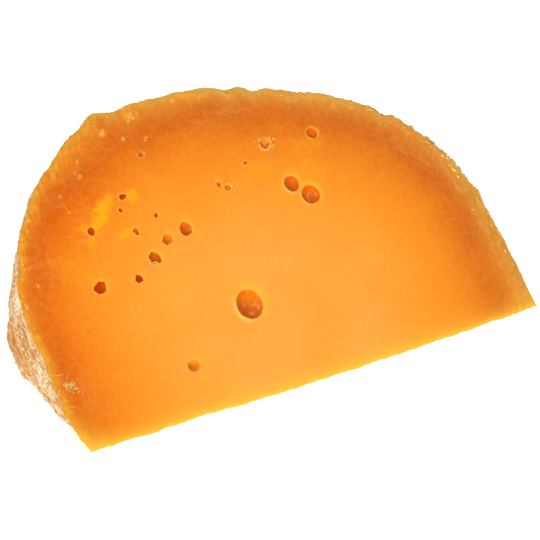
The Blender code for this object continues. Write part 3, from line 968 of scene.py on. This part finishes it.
def rampOf(tree, value, stops):
    # a long ramp is smoothed over several stops, a short one from each stop to the next
    node = addNode(tree, "ShaderNodeValToRGB", {"Fac": value})
    ramp = node.color_ramp
    ramp.interpolation = "B_SPLINE" if len(stops) > 6 else "EASE"
    while len(ramp.elements) < len(stops):
        ramp.elements.new(0.5)
    for element, (place, colour) in zip(ramp.elements, stops):
        element.position = place
        element.color = colour
    return node.outputs["Color"]


def addBump(tree, shader, height, strength, distance):
    links = {"Height": height, "Strength": strength, "Distance": distance}
    tree.links.new(addNode(tree, "ShaderNodeBump", links).outputs["Normal"], shader.inputs["Normal"])


def setShader(shader, values):
    for name, value in values.items():
        shader.inputs[name].default_value = value


pasteLook = {
    "agedMm": 60.0,                        # the ramp below runs over this distance in from the rind
    "aged": (
        (0.000, srgb(217, 162, 68)), (0.033, srgb(211, 136, 46)), (0.075, srgb(210, 117, 34)),
        (0.117, srgb(206, 106, 28)), (0.150, srgb(205, 101, 24)), (0.192, srgb(208, 102, 20)),
        (0.233, srgb(217, 111, 20)), (0.283, srgb(225, 119, 22)), (0.350, srgb(232, 130, 26)),
        (0.433, srgb(238, 138, 28)), (0.540, srgb(241, 145, 37)), (0.700, srgb(245, 153, 48)),
        (1.000, srgb(248, 164, 64)),
    ),
    "bandWaveMm": 1.8,                     # how much the band's width wanders
    "blotchMm": 1.6,                       # and how much its colour is blotched, most next to the rind
    "oldRight": (0.99, 1.00, 1.10, 1.0),   # the band is more olive at the right and more golden at the left
    "oldLeft": (1.06, 0.90, 0.42, 1.0),
    "lump": srgb(240, 164, 34),
    # painted glow of light let through the thin edge
    "glow": srgb(250, 202, 64),
    "litEyeWall": srgb(246, 148, 20),         # gas holes, in painted light and shade: the lit side of the wall, the shaded rest, the darkest painted shade
    "shadedEyeWall": srgb(212, 120, 40),
    "darkestEyeShade": srgb(226, 92, 8),
    "halo": srgb(250, 178, 44),
    # the pale lip of a hole: pale torn paste with a painted highlight on its lit side; also the colour of
    # the painted glints
    "lip": srgb(254, 204, 116),
    "smear": srgb(247, 168, 26),
    "streak": srgb(250, 190, 110),
    "cloud": srgb(248, 142, 14),
    # painted sheen on the fatty surface; also the colour of the pale fibres along the frayed rim
    "paintedSheen": srgb(234, 162, 84),
    "blister": srgb(246, 188, 84),
    # patterns by place: scale, detail, roughness, then how they are stretched and distorted
    "noises": {
        "wander": (55.0, 2.0),
        "blotch": (290.0, 3.0, 0.55),
        "lump": (420.0, 2.0, 0.5),
        "cloud": (38.0, 3.0, 0.6),
        "streak": (1.0, 3.0, 0.6, (55.0, 420.0, 420.0)),
        "broken": (60.0, 2.0),
        "mottle": (700.0, 3.0, 0.6),
        # spots of painted glint inside the gas holes
        "eyeGlints": (520.0, 1.0, 0.5),
        "gloss": (140.0, 3.0),
        "grain": (620.0, 4.0, 0.6),
    },
    "threads": (1.0, 4.0, 0.65, (0.22, 2.6, 1.0), 0.4),   # fibres that run along the rim
    "roughness": (0.42, 0.60),
    "wetter": 0.22,                        # blisters and gas holes are smoother by this
    "bump": (0.20, 0.0006),
    "shader": {
        "Subsurface Weight": 0.25,
        "Subsurface Radius": (1.0, 0.36, 0.10),
        "Subsurface Scale": 0.002,
        "Specular IOR Level": 0.08,
        "Specular Tint": (1.0, 0.55, 0.20, 1.0),   # reflections on the fatty surface
    },
}


def pasteMaterial():
    # colour by distance from the rind, with the edge's painted glow, a painted sheen, smears, blisters, gas
    # holes painted in light and shade, and lips with a painted highlight on top
    material, tree, shader = startMaterial("aged_paste")
    look = pasteLook
    place = addNode(tree, "ShaderNodeTexCoord").outputs["Object"]
    noise = {name: noiseAt(tree, place, *settings) for name, settings in look["noises"].items()}
    field = fieldsOf(tree, (
        "rimDepth", "rimAlong", "frayed", "paintedSheen", "paintedEdgeGlow", "smear", "blister", "halo", "paintedLitSide",
        "paintedEyeShade", "pocket", "lip"))
    rimDepth = field["rimDepth"]
    wander = rangeOf(tree, noise["wander"], 0.2, 0.8, -1.0, 1.0, False)
    blotch = rangeOf(tree, noise["blotch"], 0.25, 0.75, -1.0, 1.0, False)
    inwards = rangeOf(tree, rimDepth, 0.0, 8.0, 0.2, 1.0)
    nearRind = rangeOf(tree, rimDepth, 8.0, 1.0, 0.18, 1.0)
    depth = rimDepth
    for waves, share, byMm in ((wander, inwards, look["bandWaveMm"]), (blotch, nearRind, look["blotchMm"])):
        depth = mathOf(tree, "ADD", depth, timesOf(tree, timesOf(tree, waves, share), byMm))
    colour = rampOf(tree, rangeOf(tree, depth, 0.0, look["agedMm"], smooth=False), look["aged"])
    along = addNode(tree, "ShaderNodeSeparateXYZ", {"Vector": place}).outputs["X"]
    tint = mixColour(tree, rangeOf(tree, along, 0.000, -0.055), look["oldRight"], look["oldLeft"])
    colour = mixColour(tree, rangeOf(tree, rimDepth, 30.0, 8.0), colour, tint, "MULTIPLY")
    lump = rangeOf(tree, noise["lump"], 0.52, 0.70, 0.0, 0.6)
    streaked = rangeOf(tree, noise["streak"], 0.56, 0.80, 0.0, 0.18)
    skin = addNode(tree, "ShaderNodeCombineXYZ", {0: field["rimAlong"], 1: rimDepth}).outputs["Vector"]
    threads = noiseAt(tree, skin, *look["threads"])
    paleThreads = rangeOf(tree, threads, 0.50, 0.68, 0.0, 0.55)
    dullThreads = rangeOf(tree, threads, 0.46, 0.34, 0.0, 0.45)
    mealy = rangeOf(tree, noise["mottle"], 0.30, 0.60, 0.25, 0.85)
    # the walls of the holes are painted: lighter on their lit side, darker on the rest, darkest in the holes
    # given the most painted shade
    wall = mixColour(tree, rangeOf(tree, field["paintedLitSide"], -0.25, 0.95), look["shadedEyeWall"], look["litEyeWall"])
    # spots of painted glint on the walls, in the pale colour of the lips
    wall = mixColour(tree, rangeOf(tree, noise["eyeGlints"], 0.55, 0.72, 0.0, 0.45), wall, look["lip"])
    wall = mixColour(tree, field["paintedEyeShade"], wall, look["darkestEyeShade"])
    colour = layered(tree, colour, (
        (timesOf(tree, lump, rangeOf(tree, depth, 5.5, 1.5)), look["lump"]),
        (rangeOf(tree, noise["cloud"], 0.40, 0.75, 0.0, 0.30), look["cloud"]),
        (timesOf(tree, streaked, rangeOf(tree, noise["broken"], 0.45, 0.70)), look["streak"]),
        (rangeOf(tree, noise["mottle"], 0.35, 0.65, 0.0, 0.08), look["streak"]),
        # pale fibres along the frayed rim, partly a painted sheen
        (timesOf(tree, paleThreads, field["frayed"]), look["paintedSheen"]),
        (timesOf(tree, dullThreads, field["frayed"]), look["aged"][0][1]),
        # patches of painted sheen, broken into streaks along the rim
        (timesOf(tree, field["paintedSheen"], rangeOf(tree, threads, 0.44, 0.66)), look["paintedSheen"]),
        # the painted glow of light through the thin edge
        (field["paintedEdgeGlow"], look["glow"]),
        (field["smear"], look["smear"]),
        (timesOf(tree, field["blister"], mealy), look["blister"]),
        (timesOf(tree, field["halo"], 0.6), look["halo"]),
        # inside the holes the paste gives way to the painted light and shade of their walls
        (rangeOf(tree, field["pocket"], 0.0, 0.42), wall),
        # pale lips, with a painted highlight on their lit side
        (field["lip"], look["lip"]),
    ))
    tree.links.new(colour, shader.inputs["Base Color"])
    gloss = rangeOf(tree, noise["gloss"], 0.3, 0.7, *look["roughness"])
    wet = mathOf(tree, "MAXIMUM", field["blister"], rangeOf(tree, field["pocket"], 0.0, 0.3))
    roughness = mathOf(tree, "SUBTRACT", gloss, timesOf(tree, wet, look["wetter"]))
    tree.links.new(roughness, shader.inputs["Roughness"])
    setShader(shader, look["shader"])
    halfGrain, halfStreak = timesOf(tree, noise["grain"], 0.5), timesOf(tree, noise["streak"], 0.5)
    addBump(tree, shader, mathOf(tree, "ADD", halfGrain, halfStreak), *look["bump"])
    return material


rindLook = {
    "cream": srgb(250, 236, 200),
    "tan": srgb(208, 146, 76),
    "ochre": srgb(184, 118, 46),
    "rose": srgb(226, 178, 118),
    "brown": srgb(96, 50, 16),
    "gilt": srgb(214, 148, 58),
    "noises": {                            # by place, as for the paste
        "broad": (95.0, 3.0, 0.6),
        "speck": (1300.0, 3.0, 0.65),
        "dots": (520.0, 1.0, 0.5),
    },
    "patch": (1.0, 4.0, 0.65, (0.20, 0.36, 1.0), 0.5),    # along the rim and away from the leaning cut
    "thread": (1.0, 4.0, 0.7, (0.42, 1.5, 1.0), 0.8),
    "palerBy": (("cream", 0.07), ("toned", 0.10), ("grain", 0.25)),
    "bump": (0.6, 0.0012),
    "shader": {"Roughness": 0.9, "Specular IOR Level": 0.15},
}


def rindMaterial():
    # tan, rose and ochre patches with fine cream streaks along the cut, brown in the pits, gold at the cut
    material, tree, shader = startMaterial("dry_rind")
    look = rindLook
    place = addNode(tree, "ShaderNodeTexCoord").outputs["Object"]
    noise = {name: noiseAt(tree, place, *settings) for name, settings in look["noises"].items()}
    field = fieldsOf(tree, ("along", "across", "cream", "toned", "grain", "gilt", "pit"))
    skin = addNode(tree, "ShaderNodeCombineXYZ", {0: field["along"], 1: field["across"]}).outputs["Vector"]
    patch = noiseAt(tree, skin, *look["patch"])
    thread = noiseAt(tree, skin, *look["thread"])
    pale = thread
    for name, share in look["palerBy"]:
        pale = mathOf(tree, "ADD", pale, timesOf(tree, field[name], share))
    pit = timesOf(tree, field["pit"], rangeOf(tree, noise["speck"], 0.35, 0.6, 0.6, 1.0))
    pit = mathOf(tree, "MAXIMUM", pit, rangeOf(tree, noise["dots"], 0.70, 0.78, 0.0, 0.9))
    colour = mixColour(tree, rangeOf(tree, noise["broad"], 0.40, 0.60), look["tan"], look["ochre"])
    colour = layered(tree, colour, (
        (rangeOf(tree, patch, 0.42, 0.60, 0.0, 0.80), look["rose"]),
        (rangeOf(tree, pale, 0.50, 0.60, 0.0, 0.92), look["cream"]),
        (rangeOf(tree, noise["speck"], 0.54, 0.64, 0.0, 0.75), look["ochre"]),
        (timesOf(tree, field["cream"], rangeOf(tree, thread, 0.40, 0.56, 0.0, 0.85)), look["cream"]),
        (timesOf(tree, field["gilt"], rangeOf(tree, patch, 0.25, 0.60, 0.7, 1.0)), look["gilt"]),
        (rangeOf(tree, pit, 0.40, 0.85, 0.0, 0.9), look["brown"]),
    ))
    tree.links.new(colour, shader.inputs["Base Color"])
    setShader(shader, look["shader"])
    height = mathOf(tree, "ADD", timesOf(tree, patch, 0.4), timesOf(tree, thread, 0.6))
    addBump(tree, shader, height, *look["bump"])
    return material


shredLook = {
    "tones": (
        (0.0, srgb(132, 82, 30)), (0.3, srgb(206, 138, 50)), (0.6, srgb(236, 168, 66)),
        (1.0, srgb(255, 222, 150)),
    ),
    "shader": {
        "Roughness": 0.34,
        "Subsurface Weight": 0.4,
        "Subsurface Radius": (1.0, 0.5, 0.2),
        "Subsurface Scale": 0.001,
    },
}


def shredMaterial():
    # brown to gold to pale by the tone of each shred
    material, tree, shader = startMaterial("fresh_shreds")
    tone = fieldsOf(tree, ("tone",))["tone"]
    tree.links.new(rampOf(tree, tone, shredLook["tones"]), shader.inputs["Base Color"])
    setShader(shader, shredLook["shader"])
    return material


# Studio

studio = {
    "lookAt": (-0.018712, 0.0, 0.043056),  # from the wedge's own zero
    "distance": 0.42430,
    "azimuth": -28.626,
    "elevation": 33.015,
    "lens": 100.0,
    "floorSize": 6.0,
    "floorShader": {                       # the pale floor glows a little, so shadows stay faint
        "Base Color": (0.96, 0.96, 0.96, 1.0),
        "Roughness": 0.9,
        "Emission Color": (1.0, 1.0, 1.0, 1.0),
        "Emission Strength": 0.40,
    },
    "worldLight": 0.56,
    "lampsAim": (0.0, 0.0, 0.03),
}
lamps = (
    # name, azimuth, elevation, distance, size, watts
    ("key_light", -52.0, 27.0, 2.40, 1.40, 28.5),
    ("fill_light", 12.0, 24.0, 2.60, 1.80, 12.5),
    ("back_light", 170.0, 45.0, 2.60, 1.60, 12.5),
)


def awayFrom(azimuth, elevation):
    # unit vector from the object to a place round it: (sin az cos el, -cos az cos el, sin el)
    az, el = math.radians(azimuth), math.radians(elevation)
    return Vector((math.sin(az) * math.cos(el), -math.cos(az) * math.cos(el), math.sin(el)))


def buildStudio():
    mesh = bpy.data.meshes.new("floor")
    half = studio["floorSize"] / 2.0
    corners = [(-half, -half, 0), (half, -half, 0), (half, half, 0), (-half, half, 0)]
    mesh.from_pydata(corners, [], [(0, 1, 2, 3)])
    floor = newPiece("floor", mesh)
    material, tree, shader = startMaterial("pale_floor")
    setShader(shader, studio["floorShader"])
    mesh.materials.append(material)
    aim = Vector(studio["lampsAim"])
    for name, azimuth, elevation, distance, size, watts in lamps:
        light = bpy.data.lights.new(name, "AREA")
        light.energy = watts
        light.size = size
        lamp = bpy.data.objects.new(name, light)
        lamp.location = aim + awayFrom(azimuth, elevation) * distance
        lamp.rotation_euler = awayFrom(azimuth, elevation).to_track_quat("Z", "Y").to_euler()
        bpy.context.scene.collection.objects.link(lamp)
    world = bpy.data.worlds.new("studio")
    world.use_nodes = True
    sky = {"Color": (1.0, 1.0, 1.0, 1.0), "Strength": studio["worldLight"]}
    setShader(world.node_tree.nodes["Background"], sky)
    bpy.context.scene.world = world
    bpy.context.scene.view_settings.view_transform = "Standard"


def buildCamera():
    camera = bpy.data.cameras.new("camera")
    camera.lens = studio["lens"]
    camera.sensor_width = 36.0
    camera.clip_start = 0.01
    holder = bpy.data.objects.new("camera", camera)
    back = awayFrom(studio["azimuth"], studio["elevation"])
    lookAt = Vector(studio["lookAt"]) + Vector((*wedge["zero"], 0.0))
    holder.location = lookAt + back * studio["distance"]
    holder.rotation_euler = back.to_track_quat("Z", "Y").to_euler()
    bpy.context.scene.collection.objects.link(holder)
    bpy.context.scene.camera = holder


buildCamera()
buildStudio()
print("studio and camera ready")

frameShift = np.array([wedge["zero"][0], wedge["zero"][1], 0.0])
cheesePaste = buildPaste(eyeList())
cheeseShreds = buildShreds(cheesePaste)
cheeseRind = buildRind()
for piece, material, slot in (
        (cheesePaste, pasteMaterial(), "paste"), (cheeseRind, rindMaterial(), "rind"),
        (cheeseShreds, shredMaterial(), "paste")):
    movePoints(piece.data, frameShift)
    piece.data.materials.clear()
    piece.data.materials.append(material)
    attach(piece, "root")
    print(piece.name, len(piece.data.polygons), "faces")
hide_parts(wedge["node"])
